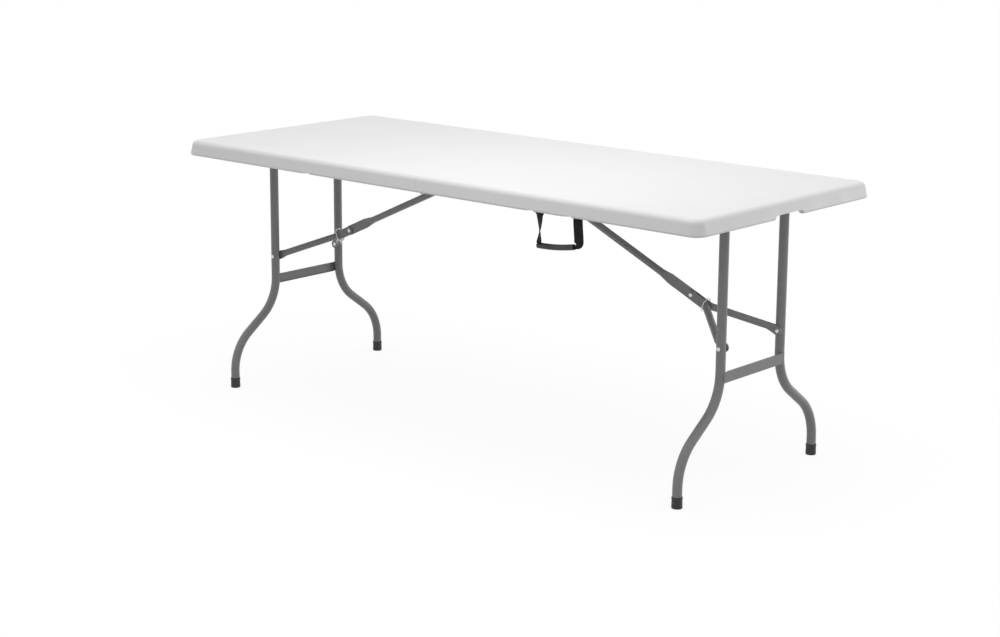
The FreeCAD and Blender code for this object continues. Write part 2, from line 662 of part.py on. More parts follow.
def clamp_screws():
    """Screws through clamp plate and strap end into the front rim."""
    y = -RIM_INNER_Y + STRAP_THICKNESS + CLAMP_THICKNESS
    z = clamp_level() + CLAMP_HEIGHT / 2
    screws = []
    for x in strap_places():
        for side in (-1, 1):
            place = V(x + side * CLAMP_SCREW_SPACING / 2, y, z)
            screws.append(screw(place, Y_AXIS * -1, CLAMP_SCREW_LENGTH))
    return screws


def grip():
    """Sleeve of the handle, sagging between the straps and hanging lower at its left end."""
    z = HANDLE_AXIS_Z - HANDLE_DROP
    low = V(HANDLE_X - GRIP_LENGTH / 2, STRAP_Y, z + GRIP_SAG - GRIP_TILT / 2)
    high = V(HANDLE_X + GRIP_LENGTH / 2, STRAP_Y, z + GRIP_SAG + GRIP_TILT / 2)
    arc = Part.Arc(low, V(HANDLE_X, STRAP_Y, z), high)
    path = Part.Wire(arc.toShape())
    section = Part.Wire(Part.makeCircle(GRIP_D / 2, low, arc.tangent(arc.FirstParameter)[0]))
    return path.makePipeShell([section], True, False)


def handle_strap(x, sleeve):
    """Free part of one strap, from the flexing line down to the sleeve's middle line."""
    share = (x - HANDLE_X) / (GRIP_LENGTH / 2)
    sleeve_z = HANDLE_AXIS_Z - HANDLE_DROP + GRIP_SAG * share ** 2 + GRIP_TILT / 2 * share
    band = strap_block(x, STRAP_Y - STRAP_THICKNESS / 2, STRAP_THICKNESS, STRAP_WIDTH,
                       sleeve_z, HANDLE_AXIS_Z + HANDLE_ABOVE_AXIS)
    return max(band.cut(sleeve).Solids, key=lambda solid: solid.BoundBox.ZMax)


def build():
    """All pieces of the table, by node name."""
    nodes = {}
    screws = half_screws()
    clamps = clamp_screws()

    base = moulded_half().cut(dimples())
    shared = hinge_slots() + [hand_notch()] + screws
    ramps = [front_ramp(x - STRAP_WIDTH / 2 + RAMP_FROM_STRAP) for x in strap_places()]
    nodes["right_top"] = base.cut(shared + ramps + clamps)
    nodes["left_top"] = mirrored_x(base.cut(shared)).cut(front_ramp(LEFT_RAMP_X + RAMP_LENGTH / 2))

    hinge_pin_back = hinge_pin()
    right_rivets = hinge_rivets(HINGE_RIGHT_Y, RAIL_INNER_Y + RAIL_WALL)
    left_rivets = hinge_rivets(RAIL_INNER_Y, HINGE_LEFT_Y + HINGE_PLATE)
    rail = side_rail().cut(screws + right_rivets)
    left_rail = side_rail().cut(screws + left_rivets)
    tie = tie_bar().cut(screws)
    bracket = brace_bracket().cut(screws + [bracket_pin()])
    ring = lock_ring()
    arm = brace_arm()
    back_leg = leg_tube()
    right = {
        "tie_bar": tie,
        "brace_bracket": bracket,
        "bracket_pin": bracket_pin(),
        "rail_screws": group(screws),
        "leg_back": back_leg,
        "leg_front": mirrored_y(back_leg),
        "leg_pivot": pivot_tube(),
        "foot_back": foot_cap(),
        "foot_front": mirrored_y(foot_cap()),
        "crossbar": crossbar(),
        "leg_rivets": group([leg_rivet(), mirrored_y(leg_rivet())]),
        "brace_rod": on_brace(brace_rod()),
        "arm_back": on_brace(arm),
        "arm_front": on_brace(mirrored_y(arm)),
        "arm_rivets": group([on_brace(arm_rivet()), on_brace(mirrored_y(arm_rivet()))]),
        "knee_rivet": on_brace(knee_rivet()),
        "lock_ring": on_brace(ring),
    }
    for name, shape in right.items():
        nodes["right_" + name] = shape
        nodes["left_" + name] = mirrored_x(shape)

    right_plate = hinge_plate(HINGE_RIGHT_Y, HINGE_PIN_R).cut(right_rivets)
    left_plate = mirrored_x(hinge_plate(HINGE_LEFT_Y, HINGE_PIN_R + RUNNING).cut(left_rivets))
    left_rivets = [mirrored_x(one) for one in left_rivets]
    sides = (("right_", rail, right_plate, right_rivets),
             ("left_", mirrored_x(left_rail), left_plate, left_rivets))
    for side, back_rail, plate, rivets in sides:
        nodes[side + "rail_back"] = back_rail
        nodes[side + "rail_front"] = mirrored_y(back_rail)
        nodes[side + "hinge_plates"] = group([plate, mirrored_y(plate)])
        nodes[side + "hinge_rivets"] = group(rivets + [mirrored_y(one) for one in rivets])
    nodes["hinge_pins"] = group([hinge_pin_back, mirrored_y(hinge_pin_back)])
    nodes["hinge_washers"] = group([hinge_washer(), mirrored_y(hinge_washer())])

    sleeve = grip()
    nodes["handle_grip"] = sleeve
    names = ("handle_strap_left", "handle_strap_right")
    for name, x in zip(names, strap_places()):
        nodes[name] = handle_strap(x, sleeve)
    fixed_low = HANDLE_AXIS_Z + HANDLE_ABOVE_AXIS + STRAP_FLEX_GAP
    fixed_high = RIM_Z + STRAP_FIXED_HEIGHT
    ends = [strap_block(x, -RIM_INNER_Y, STRAP_THICKNESS, STRAP_WIDTH, fixed_low, fixed_high)
            for x in strap_places()]
    plates = [strap_block(x, -RIM_INNER_Y + STRAP_THICKNESS, CLAMP_THICKNESS, STRAP_WIDTH, clamp_level(),
                          clamp_level() + CLAMP_HEIGHT) for x in strap_places()]
    nodes["handle_strap_ends"] = group([end.cut(clamps) for end in ends])
    nodes["handle_clamps"] = group([plate.cut(clamps) for plate in plates])
    nodes["handle_screws"] = group(clamps)
    return nodes


os.makedirs("parts", exist_ok=True)
for node, solid in build().items():
    if not solid.isValid():
        raise ValueError("invalid solid in " + node)
    solid.exportStep("parts/" + node + ".step")
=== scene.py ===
"""Looks of the folding buffet table: its finishes, its webbing carry handle and a studio stage."""
import json
import math

import bmesh
import bpy
from bpy.props import FloatProperty, FloatVectorProperty, IntProperty, PointerProperty
from bpy.types import Operator, Panel, PropertyGroup
from mathutils import Matrix, Vector


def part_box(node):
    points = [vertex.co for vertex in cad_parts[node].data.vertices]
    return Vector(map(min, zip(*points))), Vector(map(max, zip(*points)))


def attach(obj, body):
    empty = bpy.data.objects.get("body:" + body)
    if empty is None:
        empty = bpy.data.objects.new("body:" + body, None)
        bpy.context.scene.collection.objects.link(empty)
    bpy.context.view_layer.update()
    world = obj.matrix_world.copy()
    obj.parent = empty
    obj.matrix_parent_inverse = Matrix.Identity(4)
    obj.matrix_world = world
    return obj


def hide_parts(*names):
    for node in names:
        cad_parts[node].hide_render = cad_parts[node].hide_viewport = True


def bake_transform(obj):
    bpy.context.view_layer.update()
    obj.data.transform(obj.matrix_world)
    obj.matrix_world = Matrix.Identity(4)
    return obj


bl_info = {
    "name": "Folding Buffet Table",
    "version": (1, 0, 0),
    "blender": (4, 5, 0),
    "location": "View3D > Sidebar > Table",
    "description": "Finishes the folding buffet table, models its carry handle and sets its stage",
    "category": "Object",
}

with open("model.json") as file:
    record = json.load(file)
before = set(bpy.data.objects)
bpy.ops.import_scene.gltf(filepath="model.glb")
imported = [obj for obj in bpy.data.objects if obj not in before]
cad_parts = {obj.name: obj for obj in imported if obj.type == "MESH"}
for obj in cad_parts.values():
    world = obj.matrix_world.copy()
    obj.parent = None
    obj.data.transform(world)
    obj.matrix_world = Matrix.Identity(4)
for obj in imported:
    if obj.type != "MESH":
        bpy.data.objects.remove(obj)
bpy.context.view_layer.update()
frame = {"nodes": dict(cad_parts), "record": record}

UP = Vector((0, 0, 1))
WHITE = (1, 1, 1)

# Camera: width of the photograph's frame in pixels, width of the sensor that the lens is worked out
# for in millimetres, and how far it sees in metres
IMAGE_WIDTH = 1000
SENSOR_WIDTH = 36.0
CAMERA_REACH = 200.0

# Where the sky's mean light on a level floor lies, as a share of the way from horizon to zenith
SKY_MEAN = 2 / 3

# The range of a factor, and the range that most values of a noise texture lie in
FACTOR = (0, 1)
NOISE_RANGE = (0.3, 0.7)

# Webbing: cells across and along a band, pitch of its yarns both ways, name of its map, depth of
# its bend under the top of the free strap, and the angle up to which its edges are shaded smooth
BAND_COLUMNS = 8
BAND_ROWS = 64
YARN_ACROSS = 0.0016
YARN_ALONG = 0.0013
WEAVE_MAP = "weave"
WEBBING_SMOOTH = math.radians(50)

# Bands that a wave texture draws per unit at a scale of 1
WAVE_BANDS = 10 / math.pi

# Sleeve: steps of its sweep, distance below which its points are merged, rounding of its mouths
# as a share of its wall, and the angle up to which its edges are shaded smooth
SLEEVE_STEPS = 24
MERGE_DISTANCE = 0.00001
MOUTH_ROUNDING = 0.35
SLEEVE_SMOOTH = math.radians(40)


class FinishSettings(PropertyGroup):
    """Colours and gloss of the six finishes."""
    moulded_colour: FloatVectorProperty(
        name="Moulded Plastic", description="White of the blow-moulded halves",
        subtype="COLOR", size=3, min=0, max=1, default=(0.845, 0.845, 0.845))
    moulded_roughness: FloatProperty(
        name="Moulded Roughness", description="Gloss of the moulded halves",
        subtype="FACTOR", min=0, max=1, default=0.42)
    coat_colour: FloatVectorProperty(
        name="Powder Coat", description="Grey of the coated tubes and rails",
        subtype="COLOR", size=3, min=0, max=1, default=(0.253, 0.253, 0.253))
    coat_roughness: FloatProperty(
        name="Coat Roughness", description="Gloss of the powder coat",
        subtype="FACTOR", min=0, max=1, default=0.34)
    cap_colour: FloatVectorProperty(
        name="Foot Caps", description="Black of the foot caps",
        subtype="COLOR", size=3, min=0, max=1, default=(0.028, 0.028, 0.03))
    zinc_colour: FloatVectorProperty(
        name="Zinc Plate", description="Colour of the plated rivets, screws and rings",
        subtype="COLOR", size=3, min=0, max=1, default=(0.66, 0.67, 0.68))
    webbing_colour: FloatVectorProperty(
        name="Webbing", description="Black of the woven straps",
        subtype="COLOR", size=3, min=0, max=1, default=(0.010, 0.010, 0.011))
    sleeve_colour: FloatVectorProperty(
        name="Sleeve", description="Black of the handle's soft sleeve",
        subtype="COLOR", size=3, min=0, max=1, default=(0.022, 0.022, 0.024))


class HandleSettings(PropertyGroup):
    """Sizes of the carry handle's webbing and sleeve."""
    webbing_thickness: FloatProperty(
        name="Webbing Thickness", description="Thickness of the woven straps",
        unit="LENGTH", min=0.0005, default=0.0026)
    twist_at_rim: FloatProperty(
        name="Twist at Rim", description="Turn of the left strap just under the rim",
        unit="ROTATION", default=math.radians(17))
    twist_at_sleeve: FloatProperty(
        name="Twist at Sleeve", description="Turn of the left strap where it meets the sleeve",
        unit="ROTATION", default=math.radians(74))
    twist_run: FloatProperty(
        name="Twist Run", description="Height over which the left strap takes its first turn",
        unit="LENGTH", min=0.001, default=0.008)
    twist_delay: FloatProperty(
        name="Twist Delay",
        description="How much of the left strap's twist lies low down; 1 is even",
        min=0.2, default=1.3)
    twist_bow: FloatProperty(
        name="Twist Bow", description="How far the twisted strap's middle stands to the right",
        unit="LENGTH", default=0.002)
    lean: FloatVectorProperty(
        name="Lean",
        description="How far the left and the right strap's lower ends stand outward",
        unit="LENGTH", size=2, default=(0.001, 0.004))
    turn_radius: FloatProperty(
        name="Turn Radius", description="Bend of a strap's middle line into the sleeve",
        unit="LENGTH", min=0.004, default=0.011)
    gathered_width: FloatProperty(
        name="Gathered Width", description="Width of the webbing where it enters the sleeve",
        unit="LENGTH", min=0.002, default=0.0095)
    gather_run: FloatProperty(
        name="Gather Run", description="Height above the turn at which a strap begins to gather",
        unit="LENGTH", min=0, default=0.003)
    sleeve_left: FloatProperty(
        name="Sleeve Left", description="Reach of the sleeve to the left of the handle's middle",
        unit="LENGTH", min=0.01, default=0.066)
    sleeve_right: FloatProperty(
        name="Sleeve Right", description="Reach of the sleeve to the right of the handle's middle",
        unit="LENGTH", min=0.01, default=0.052)
    sleeve_sag: FloatProperty(
        name="Sleeve Sag", description="How far the sleeve's middle hangs under its ends",
        unit="LENGTH", min=0.0005, default=0.0035)
    sleeve_wall: FloatProperty(
        name="Sleeve Wall", description="Wall thickness of the sleeve",
        unit="LENGTH", min=0.0005, default=0.0022)
    sleeve_sides: IntProperty(
        name="Sleeve Sides", description="Sides of the sleeve's round section",
        min=8, default=28)


class StageSettings(PropertyGroup):
    """Camera, light and floor."""
    camera_place: FloatVectorProperty(
        name="Camera", description="Place of the camera",
        subtype="TRANSLATION", unit="LENGTH", size=3, default=(3.5853, -4.1246, 1.6167))
    heading: FloatProperty(
        name="Heading", description="Direction of view in plan, from +X towards +Y",
        unit="ROTATION", default=math.radians(131.829))
    tilt: FloatProperty(
        name="Tilt", description="How far the view looks down",
        unit="ROTATION", default=math.radians(12.266))
    roll: FloatProperty(
        name="Roll", description="Turn of the camera about its view",
        unit="ROTATION", default=math.radians(0.259))
    focal_pixels: FloatProperty(
        name="Focal Length", description="Focal length in pixels of the photograph's frame",
        min=100, default=2014.5)
    shift: FloatVectorProperty(
        name="Shift", description="Lens shift of the photograph's framing, as shares of its width",
        size=2, default=(0.02, -0.0485))
    horizon: FloatProperty(
        name="Horizon", description="Strength of the soft light from the sides",
        min=0, default=0.16)
    zenith: FloatProperty(
        name="Zenith", description="Strength of the soft light from straight above",
        min=0, default=1.1)
    top_place: FloatVectorProperty(
        name="Top Light", description="Place of the soft light over the table",
        subtype="TRANSLATION", unit="LENGTH", size=3, default=(0.26, -0.36, 1.8))
    top_size: FloatVectorProperty(
        name="Top Light Size", description="Width and depth of the light over the table",
        unit="LENGTH", size=2, min=0.01, default=(1.0, 1.0))
    top_power: FloatProperty(
        name="Top Light Power", description="Power of the light over the table in watts",
        min=0, default=4.8)
    side_place: FloatVectorProperty(
        name="Side Light", description="Place of the soft light behind on the right, at leg height",
        subtype="TRANSLATION", unit="LENGTH", size=3, default=(2.8, 3.3, 0.6))
    side_size: FloatVectorProperty(
        name="Side Light Size", description="Width and height of the light on the right",
        unit="LENGTH", size=2, min=0.01, default=(1.0, 1.6))
    side_power: FloatProperty(
        name="Side Light Power", description="Power of the light on the right in watts",
        min=0, default=23.0)
    light_aim: FloatVectorProperty(
        name="Light Aim", description="Point that both lights face",
        subtype="TRANSLATION", unit="LENGTH", size=3, default=(0.1, 0.0, 0.45))
    floor_colour: FloatVectorProperty(
        name="Floor", description="Colour that the floor reflects on to the table",
        subtype="COLOR", size=3, min=0, max=1, default=(0.55, 0.55, 0.55))
    floor_whiteness: FloatProperty(
        name="Floor Whiteness", description="How far the seen floor fades to the white background",
        subtype="FACTOR", min=0, max=1, default=0.84)
    floor_size: FloatProperty(
        name="Floor Size", description="Side of the square floor",
        unit="LENGTH", min=1, default=80.0)


def deselect_all():
    """Leave nothing selected, so that an operator acts on its own piece alone."""
    if bpy.context.object and bpy.context.object.mode != "OBJECT":
        bpy.ops.object.mode_set(mode="OBJECT")
    bpy.ops.object.select_all(action="DESELECT")


def new_piece(name):
    """Name the primitive that was just added and bring its place into its mesh."""
    piece = bpy.context.object
    piece.name = name
    piece.data.name = name
    bpy.ops.object.transform_apply(location=True, rotation=True, scale=True)
    return piece


def select_points(piece, indices):
    """In edit mode, select only the points with these indices."""
    mesh = bmesh.from_edit_mesh(piece.data)
    mesh.verts.ensure_lookup_table()
    for vertex in mesh.verts:
        vertex.select = False
    for index in indices:
        mesh.verts[index].select = True
    mesh.select_flush_mode()
    bmesh.update_edit_mesh(piece.data)


def apply_modifier(piece, kind, **settings):
    """Add a modifier with these settings and apply it."""
    bpy.context.view_layer.objects.active = piece
    modifier = piece.modifiers.new(kind.title(), kind)
    for key, value in settings.items():
        setattr(modifier, key, value)
    bpy.ops.object.modifier_apply(modifier=modifier.name)


def smooth(piece, angle):
    """Shade smooth across edges flatter than the angle."""
    deselect_all()
    piece.select_set(True)
    bpy.context.view_layer.objects.active = piece
    bpy.ops.object.shade_smooth_by_angle(angle=angle)


def start_material(name, sockets=None):
    """New material, its node tree and its shader, with constants on the shader's sockets."""
    material = bpy.data.materials.new(name)
    material.use_nodes = True
    shader = material.node_tree.nodes["Principled BSDF"]
    for socket, value in (sockets or {}).items():
        shader.inputs[socket].default_value = value
    return material, material.node_tree, shader


def add_node(tree, kind, inputs=None, **settings):
    """Node of a kind, with its settings and the values of its unlinked inputs."""
    node = tree.nodes.new(kind)
    for key, value in settings.items():
        setattr(node, key, value)
    for key, value in (inputs or {}).items():
        node.inputs[key].default_value = value
    return node


def join_values(tree, operation, first, second):
    """Two values joined by an operation of arithmetic."""
    node = add_node(tree, "ShaderNodeMath", operation=operation)
    tree.links.new(first, node.inputs[0])
    tree.links.new(second, node.inputs[1])
    return node.outputs["Value"]


def object_noise(tree, scale, detail, stretch=(1, 1, 1)):
    """Noise on the piece's own coordinates, in cells per metre."""
    place = add_node(tree, "ShaderNodeTexCoord")
    mapping = add_node(tree, "ShaderNodeMapping", {"Scale": stretch})
    noise = add_node(tree, "ShaderNodeTexNoise", {"Scale": scale, "Detail": detail})
    tree.links.new(place.outputs["Object"], mapping.inputs["Vector"])
    tree.links.new(mapping.outputs["Vector"], noise.inputs["Vector"])
    return noise.outputs["Fac"]


def remap(tree, source, given, wanted=FACTOR):
    """Value carried from the given range to the wanted one, held at both ends."""
    node = add_node(tree, "ShaderNodeMapRange", {"From Min": given[0], "From Max": given[1],
                                                 "To Min": wanted[0], "To Max": wanted[1]})
    tree.links.new(source, node.inputs["Value"])
    return node.outputs["Result"]


def blend_colours(tree, factor, first, second):
    """Colour between two, by a factor."""
    node = add_node(tree, "ShaderNodeMix", data_type="RGBA")
    for socket in node.inputs:
        if socket.type == "RGBA":
            socket.default_value = (*(first if socket.name == "A" else second), 1)
    tree.links.new(factor, node.inputs["Factor"])
    return next(socket for socket in node.outputs if socket.type == "RGBA")


def add_bump(tree, shader, height, strength, distance):
    """Bump on the shader's normal."""
    bump = add_node(tree, "ShaderNodeBump", {"Strength": strength, "Distance": distance})
    tree.links.new(height, bump.inputs["Height"])
    tree.links.new(bump.outputs["Normal"], shader.inputs["Normal"])


def vary_colour(tree, shader, factor, colour, shares):
    """Base colour between a darker and a lighter share of a colour, by a factor."""
    darker, lighter = (tuple(min(1.0, channel * share) for channel in colour) for share in shares)
    tree.links.new(blend_colours(tree, factor, darker, lighter), shader.inputs["Base Color"])


def mottled_finish(name, colour, tones, tone_range, tone_noise, gloss, gloss_noise, grain,
                   grain_noise, sockets=None):
    """Material whose tone, gloss and grain each follow a noise of their own."""
    material, tree, shader = start_material(name, sockets)
    tone = remap(tree, object_noise(tree, **tone_noise), tone_range)
    vary_colour(tree, shader, tone, colour, tones)
    roughness = remap(tree, object_noise(tree, **gloss_noise), NOISE_RANGE, gloss)
    tree.links.new(roughness, shader.inputs["Roughness"])
    add_bump(tree, shader, object_noise(tree, **grain_noise), **grain)
    return material


def moulded_plastic(settings):
    """White polyethylene with a fine pebbled skin and faint cloudiness."""
    roughness = settings.moulded_roughness
    return mottled_finish(
        "moulded_plastic", settings.moulded_colour,
        tones=(0.99, 1.0), tone_range=(0.35, 0.65), tone_noise={"scale": 7.0, "detail": 3.0},
        gloss=(roughness - 0.05, roughness + 0.07),
        gloss_noise={"scale": 22.0, "detail": 4.0, "stretch": (0.35, 1, 1)},
        grain={"strength": 0.22, "distance": 0.0004}, grain_noise={"scale": 620.0, "detail": 1.0},
        sockets={"Specular IOR Level": 0.3})


def powder_coat(settings):
    """Satin grey coat with a fine orange peel."""
    roughness = settings.coat_roughness
    return mottled_finish(
        "powder_coat", settings.coat_colour,
        tones=(0.96, 1.04), tone_range=NOISE_RANGE, tone_noise={"scale": 60.0, "detail": 3.0},
        gloss=(roughness - 0.04, roughness + 0.06), gloss_noise={"scale": 130.0, "detail": 2.0},
        grain={"strength": 0.08, "distance": 0.0002}, grain_noise={"scale": 900.0, "detail": 1.0},
        sockets={"Specular IOR Level": 0.45})


def cap_plastic(settings):
    """Black moulded plastic with a spark-eroded grain and grey scuffs."""
    return mottled_finish(
        "cap_plastic", settings.cap_colour,
        tones=(1.0, 1.9), tone_range=(0.55, 0.75), tone_noise={"scale": 160.0, "detail": 5.0},
        gloss=(0.48, 0.62), gloss_noise={"scale": 240.0, "detail": 2.0},
        grain={"strength": 0.25, "distance": 0.0002}, grain_noise={"scale": 1400.0, "detail": 1.0})


def zinc_plate(settings):
    """Bright plated steel with a soft mottle."""
    return mottled_finish(
        "zinc_plate", settings.zinc_colour,
        tones=(0.86, 1.08), tone_range=NOISE_RANGE, tone_noise={"scale": 420.0, "detail": 3.0},
        gloss=(0.24, 0.4), gloss_noise={"scale": 300.0, "detail": 2.0},
        grain={"strength": 0.1, "distance": 0.0001}, grain_noise={"scale": 1100.0, "detail": 1.0},
        sockets={"Metallic": 1.0})


def soft_sleeve(settings):
    """Black soft plastic with long creases and a low sheen."""
    return mottled_finish(
        "soft_sleeve", settings.sleeve_colour,
        tones=(1.0, 2.1), tone_range=(0.45, 0.7),
        tone_noise={"scale": 90.0, "detail": 4.0, "stretch": (0.25, 1, 1)},
        gloss=(0.36, 0.52), gloss_noise={"scale": 150.0, "detail": 3.0, "stretch": (0.3, 1, 1)},
        grain={"strength": 0.45, "distance": 0.0006},
        grain_noise={"scale": 260.0, "detail": 3.0, "stretch": (0.3, 1, 1)})


def woven_webbing(settings, width, length):
    """Black woven webbing: ribs across the band, and the yarns that cross them, on its own map,
    with painted shade in the weave's hollows and a painted highlight on its crests.
    """
    material, tree, shader = start_material("woven_webbing", {
        "Roughness": 0.78, "Specular IOR Level": 0.2, "Sheen Weight": 0.1, "Sheen Roughness": 0.5})
    own_map = add_node(tree, "ShaderNodeUVMap", uv_map=WEAVE_MAP)
    waves = []
    for axis, yarns in (("X", width / YARN_ACROSS), ("Y", length / YARN_ALONG)):
        wave = add_node(tree, "ShaderNodeTexWave", {"Scale": yarns / WAVE_BANDS, "Distortion": 0.0},
                        bands_direction=axis, wave_profile="SIN")
        tree.links.new(own_map.outputs["UV"], wave.inputs["Vector"])
        waves.append(wave.outputs["Fac"])
    crossings = join_values(tree, "MULTIPLY", *waves)
    height = join_values(tree, "ADD", crossings, waves[1])
    # Painted shade and highlight: the colour is darker in the weave's hollows and lighter on the
    # yarns' crests, as light would fall on them
    weave_painted_light = remap(tree, height, given=(0.2, 1.6))
    vary_colour(tree, shader, weave_painted_light, settings.webbing_colour, shares=(0.55, 1.5))
    add_bump(tree, shader, height, strength=0.5, distance=0.0004)
    return material


def finish_nodes(slot, material):
    """Give the material to every CAD node of one slot."""
    subparts = frame["record"]["subparts"]
    found = [part["node"] for part in subparts if part["material_slot"] == slot]
    if not found:
        raise RuntimeError("no node has the finish " + slot)
    for node in found:
        mesh = frame["nodes"][node].data
        mesh.materials.clear()
        mesh.materials.append(material)


class TABLE_OT_moulded_halves(Operator):
    """Finish the two blow-moulded halves"""
    bl_idname = "buffet_table.moulded_halves"
    bl_label = "Moulded Halves"

    def execute(self, context):
        finish_nodes("white_hdpe", moulded_plastic(context.scene.table_finish))
        return {"FINISHED"}


class TABLE_OT_coated_steel(Operator):
    """Finish the legs, braces, rails and hinge plates"""
    bl_idname = "buffet_table.coated_steel"
    bl_label = "Coated Steel"

    def execute(self, context):
        finish_nodes("grey_powder_coat", powder_coat(context.scene.table_finish))
        return {"FINISHED"}


class TABLE_OT_plated_steel(Operator):
    """Finish the rivets, pins, screws, washers and lock rings"""
    bl_idname = "buffet_table.plated_steel"
    bl_label = "Plated Steel"

    def execute(self, context):
        finish_nodes("zinc_steel", zinc_plate(context.scene.table_finish))
        return {"FINISHED"}


class TABLE_OT_foot_caps(Operator):
    """Finish the four foot caps"""
    bl_idname = "buffet_table.foot_caps"
    bl_label = "Foot Caps"

    def execute(self, context):
        finish_nodes("black_plastic", cap_plastic(context.scene.table_finish))
        return {"FINISHED"}


def held(share):
    """Share held between 0 and 1."""
    return min(1.0, max(0.0, share))


def eased(value, low, high):
    """Smooth step from 0 at low to 1 at high."""
    share = held((value - low) / (high - low))
    return share * share * (3 - 2 * share)


def strap_end(node):
    """Middle of a strap's lower end, on the sleeve's middle line."""
    low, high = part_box(node)
    return Vector(((low.x + high.x) / 2, (low.y + high.y) / 2, low.z))


def sleeve_line(x, settings):
    """Height and slope of the sleeve's sagging middle line at a place along the table."""
    left, right = strap_end("handle_strap_left"), strap_end("handle_strap_right")
    middle = (left + right) / 2
    half = (right.x - left.x) / 2
    share = (x - middle.x) / half
    rise = (right.z - left.z) / (right.x - left.x)
    height = middle.z + rise * (x - middle.x) + settings.sleeve_sag * (share ** 2 - 1)
    return height, rise + 2 * settings.sleeve_sag * share / half


class StrapRun:
    """Run of one strap: down from its clamped end, and round a turn into the sleeve.

    Lengths are measured along the strap from its clamped end. Inward is 1 where the sleeve lies to
    the strap's right, and -1 where it lies to its left.
    """

    def __init__(self, node, inward, lean, twisted, settings):
        low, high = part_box(node)
        self.settings = settings
        self.inward = inward
        self.lean = -inward * lean
        self.twisted = twisted
        self.middle = (low + high) / 2
        self.width = high.x - low.x
        self.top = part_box("handle_strap_ends")[1].z
        mouth, slope = sleeve_line(self.middle.x + inward * settings.turn_radius, settings)
        self.turn = math.pi / 2 + inward * math.atan(slope)
        self.held_length = self.top - high.z
        self.straight = self.top - mouth - settings.turn_radius * math.sin(self.turn)
        self.bend = settings.turn_radius * self.turn
        self.length = self.straight + self.bend + settings.turn_radius


def webbing_band(name, run):
    """One strap: clamped end, straight drop with its twist, and a gathered turn into the sleeve."""
    deselect_all()
    bpy.ops.mesh.primitive_grid_add(
        x_subdivisions=BAND_COLUMNS, y_subdivisions=BAND_ROWS, size=1,
        location=(run.middle.x, run.middle.y, run.top - run.length / 2),
        rotation=(math.pi / 2, 0, 0))
    bpy.context.object.scale = (run.width, run.length, 1)
    band = new_piece(name)
    band.data.uv_layers[0].name = WEAVE_MAP
    rows = {}
    for vertex in band.data.vertices:
        row = round((run.top - vertex.co.z) / run.length * BAND_ROWS)
        rows.setdefault(row, []).append(vertex.index)
    bpy.ops.object.mode_set(mode="EDIT")
    for row, points in sorted(rows.items()):
        select_points(band, points)
        shape_row(run, row / BAND_ROWS * run.length)
    bpy.ops.object.mode_set(mode="OBJECT")
    return band


def shape_row(run, down):
    """Turn, gather and carry the selected row of a band to its place along the strap."""
    settings = run.settings
    centre = Vector((run.middle.x, run.middle.y, run.top - down))
    aside = run.lean * eased(down, run.held_length, run.straight)
    if run.twisted:
        share = held((down - run.held_length) / (run.straight - run.held_length))
        at_rim = eased(down, run.held_length, run.held_length + settings.twist_run)
        more = (settings.twist_at_sleeve - settings.twist_at_rim) * share ** settings.twist_delay
        bpy.ops.transform.rotate(value=settings.twist_at_rim * at_rim + more, orient_axis="Z",
                                 center_override=centre)
        aside += settings.twist_bow * math.sin(math.pi * share)
    gathered = eased(down, run.straight - settings.gather_run, run.straight + run.bend)
    size = 1 + (settings.gathered_width / run.width - 1) * gathered
    bpy.ops.transform.resize(value=(size, size, size), center_override=centre)
    if down > run.straight:
        over = min(down - run.straight, run.bend)
        beyond = down - run.straight - over
        bpy.ops.transform.translate(value=(0, 0, down - run.straight))
        pivot = Vector((run.middle.x + run.inward * settings.turn_radius, run.middle.y,
                        run.top - run.straight))
        bpy.ops.transform.rotate(value=run.inward * over / settings.turn_radius, orient_axis="Y",
                                 center_override=pivot)
        bpy.ops.transform.translate(value=(run.inward * beyond * math.sin(run.turn), 0,
                                           -beyond * math.cos(run.turn)))
    bpy.ops.transform.translate(value=(aside, 0, 0))


class TABLE_OT_handle_webbing(Operator):
    """Model the carry handle's two straps as bands of webbing"""
    bl_idname = "buffet_table.handle_webbing"
    bl_label = "Handle Webbing"

    def execute(self, context):
        settings = context.scene.table_handle
        left_run = StrapRun("handle_strap_left", 1, settings.lean[0], True, settings)
        right_run = StrapRun("handle_strap_right", -1, settings.lean[1], False, settings)
        webbing = webbing_band("handle_webbing", left_run)
        right = webbing_band("right_webbing", right_run)
        deselect_all()
        webbing.select_set(True)
        right.select_set(True)
        bpy.context.view_layer.objects.active = webbing
        bpy.ops.object.join()
        apply_modifier(webbing, "SOLIDIFY", thickness=settings.webbing_thickness, offset=0.0)
        apply_modifier(webbing, "SUBSURF", levels=1, render_levels=1)
        smooth(webbing, WEBBING_SMOOTH)
        low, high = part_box("handle_strap_left")
        drop = left_run.top - low.z
        webbing.data.materials.clear()
        webbing.data.materials.append(
            woven_webbing(context.scene.table_finish, left_run.width, drop))
        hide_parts("handle_strap_left", "handle_strap_right", "handle_strap_ends")
        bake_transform(webbing)
        return {"FINISHED"}


